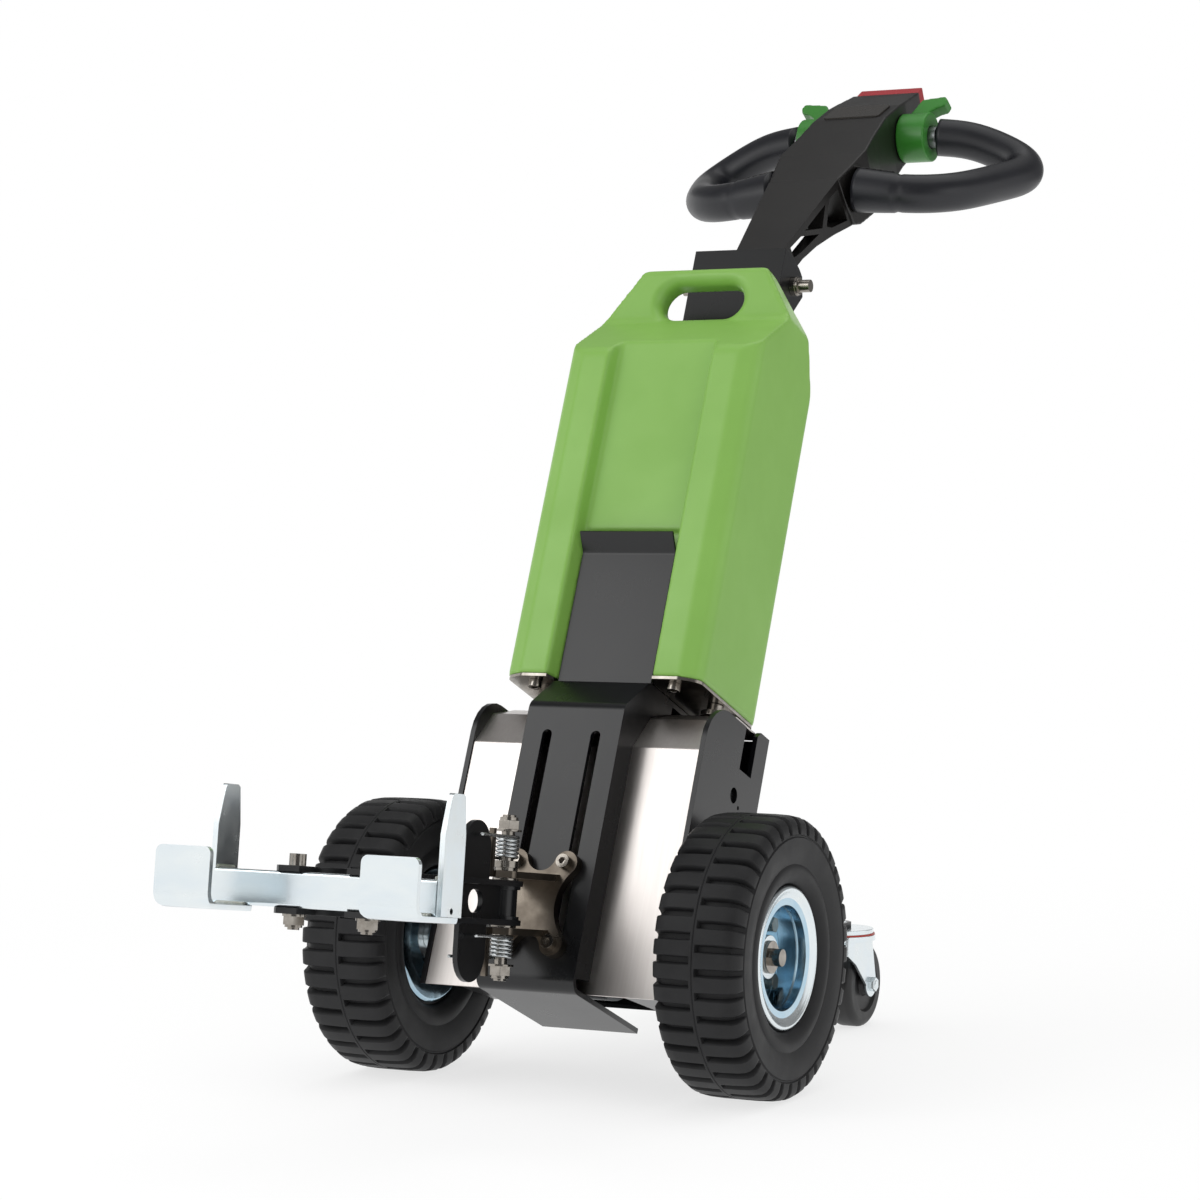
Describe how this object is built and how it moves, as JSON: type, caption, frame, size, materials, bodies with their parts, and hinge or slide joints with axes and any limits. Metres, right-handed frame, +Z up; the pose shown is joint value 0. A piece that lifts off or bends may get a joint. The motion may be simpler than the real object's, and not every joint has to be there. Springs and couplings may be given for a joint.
{
  "type": "walk behind electric tug",
  "caption": "Walk behind electric tug with driven wheels, rear castors, a sprung hitch arm, a lift-off battery cassette and a tilting tiller with thumb throttles.",
  "frame": {"origin": "on the floor, in the middle of the footprint", "axes": "+Z up, -Y towards the hitch, +Y towards the walking operator, +X to the right seen from behind"},
  "size_m": [0.45, 1.2921, 1.0114],
  "materials": {
    "black_powder": "fine textured black powder coat",
    "stainless_sheet": "brushed stainless sheet",
    "stainless_parts": "machined stainless",
    "zinc_plate": "bright zinc plated",
    "spring_wire": "drawn spring wire",
    "tyre_rubber": "moulded tyre rubber",
    "castor_tread": "smooth black rubber",
    "green_shell": "rotationally moulded, satin",
    "green_lever": "moulded, semi gloss",
    "red_button": "moulded, matt",
    "head_plastic": "moulded black, fine texture",
    "grip_plastic": "moulded black, satin",
    "cast_aluminium": "as cast",
    "core_steel": "plain steel tube",
    "black_parts": "plain black"
  },
  "bodies": {
    "chassis": {"side_plate_left": "black_powder", "side_plate_right": "black_powder", "motor_cover": "stainless_sheet", "underframe_tray": "black_powder", "rear_cover": "black_powder", "hitch_bracket": "black_powder", "retention_plate": "black_powder", "mast": "black_powder", "rear_beam": "black_powder", "tiller_bracket": "black_powder", "cassette_seats": "stainless_sheet", "chassis_bolts": "stainless_parts", "transaxle_housing": "cast_aluminium", "drive_motor": "black_parts", "motor_brake": "black_parts", "axle_bearings": "stainless_parts", "motor_controller": "black_parts", "chassis_connector": "black_parts", "castor_heads": "zinc_plate", "tiller_pivot_bolt": "stainless_parts"},
    "wheel_left": {"tyre_left": "tyre_rubber", "rim_left": "zinc_plate", "wheel_hub_left": "zinc_plate", "wheel_screws_left": "stainless_parts", "drive_axle_left": "zinc_plate"},
    "wheel_right": {"tyre_right": "tyre_rubber", "rim_right": "zinc_plate", "wheel_hub_right": "zinc_plate", "wheel_screws_right": "stainless_parts", "drive_axle_right": "zinc_plate"},
    "castor_left": {"castor_fork_left": "zinc_plate", "castor_axle_left": "zinc_plate"},
    "castor_right": {"castor_fork_right": "zinc_plate", "castor_axle_right": "zinc_plate"},
    "castor_roller_left": {"castor_wheel_left": "castor_tread"},
    "castor_roller_right": {"castor_wheel_right": "castor_tread"},
    "knuckle": {"knuckle": "stainless_parts", "knuckle_bolts": "stainless_parts", "hitch_pin": "stainless_parts", "pin_hardware": "stainless_parts"},
    "arm": {"hitch_arm": "black_powder", "arm_bushes": "stainless_parts", "upper_spring": "spring_wire", "lower_spring": "spring_wire", "cross_tube": "zinc_plate", "hook_plates": "zinc_plate", "guide_plates": "zinc_plate", "arm_bolts": "stainless_parts"},
    "cassette": {"cassette_shell": "green_shell", "cassette_base_plate": "stainless_sheet", "cassette_screws": "stainless_parts", "battery_modules": "black_parts", "cassette_connector": "black_parts"},
    "tiller": {"tiller_arm": "head_plastic", "control_head": "head_plastic", "handle_core": "core_steel", "handle_loops": "grip_plastic"},
    "throttle_left": {"throttle_left": "green_lever"},
    "throttle_right": {"throttle_right": "green_lever"},
    "reverse_button": {"reverse_button": "red_button"}
  },
  "joints": [
    {"name": "wheel_spin_left", "type": "hinge", "parent": "chassis", "child": "wheel_left", "pos_m": [-0.1825, -0.13906, 0.13], "axis": [1, 0, 0], "continuous": true},
    {"name": "wheel_spin_right", "type": "hinge", "parent": "chassis", "child": "wheel_right", "pos_m": [0.1825, -0.13906, 0.13], "axis": [1, 0, 0], "continuous": true},
    {"name": "castor_swivel_left", "type": "hinge", "parent": "chassis", "child": "castor_left", "pos_m": [-0.09, 0.28095, 0.099], "axis": [0, 0, 1], "continuous": true},
    {"name": "castor_swivel_right", "type": "hinge", "parent": "chassis", "child": "castor_right", "pos_m": [0.09, 0.28095, 0.099], "axis": [0, 0, 1], "continuous": true},
    {"name": "castor_spin_left", "type": "hinge", "parent": "castor_left", "child": "castor_roller_left", "pos_m": [-0.09, 0.31094, 0.0445], "axis": [1, 0, 0], "continuous": true},
    {"name": "castor_spin_right", "type": "hinge", "parent": "castor_right", "child": "castor_roller_right", "pos_m": [0.09, 0.31094, 0.0445], "axis": [1, 0, 0], "continuous": true},
    {"name": "knuckle_height", "type": "slide", "parent": "chassis", "child": "knuckle", "axis": [0, 0.3907, 0.9205], "range_m": [0, 0.1]},
    {"name": "arm_swing", "type": "hinge", "parent": "knuckle", "child": "arm", "pos_m": [0, -0.27687, 0.18304], "axis": [0, 0.1305, 0.9914], "range_deg": [-45, 45], "stiffness_Nm_per_rad": 4.9, "deforming": ["upper_spring", "lower_spring"]},
    {"name": "tiller_tilt", "type": "hinge", "parent": "chassis", "child": "tiller", "pos_m": [0, 0.24218, 0.76499], "axis": [1, 0, 0], "range_deg": [-20, 35]},
    {"name": "throttle_turn_right", "type": "hinge", "parent": "tiller", "child": "throttle_right", "pos_m": [0, 0.56094, 0.94689], "axis": [1, 0, 0], "range_deg": [-25, 25], "stiffness_Nm_per_rad": 0.6},
    {"name": "throttle_turn_left", "type": "hinge", "parent": "tiller", "child": "throttle_left", "pos_m": [0, 0.56094, 0.94689], "axis": [1, 0, 0], "range_deg": [-25, 25], "stiffness_Nm_per_rad": 0.6},
    {"name": "button_press", "type": "slide", "parent": "tiller", "child": "reverse_button", "axis": [0, -0.891, -0.454], "range_m": [0, 0.003], "stiffness_N_per_m": 1000, "springref_m": -0.002},
    {"name": "cassette_lift", "type": "slide", "parent": "chassis", "child": "cassette", "axis": [0, 0.3907, 0.9205], "range_m": [0, 0.12]}
  ],
  "couplings": [
    {"joint": "throttle_turn_left", "follows": "throttle_turn_right", "ratio": 1}
  ]
}
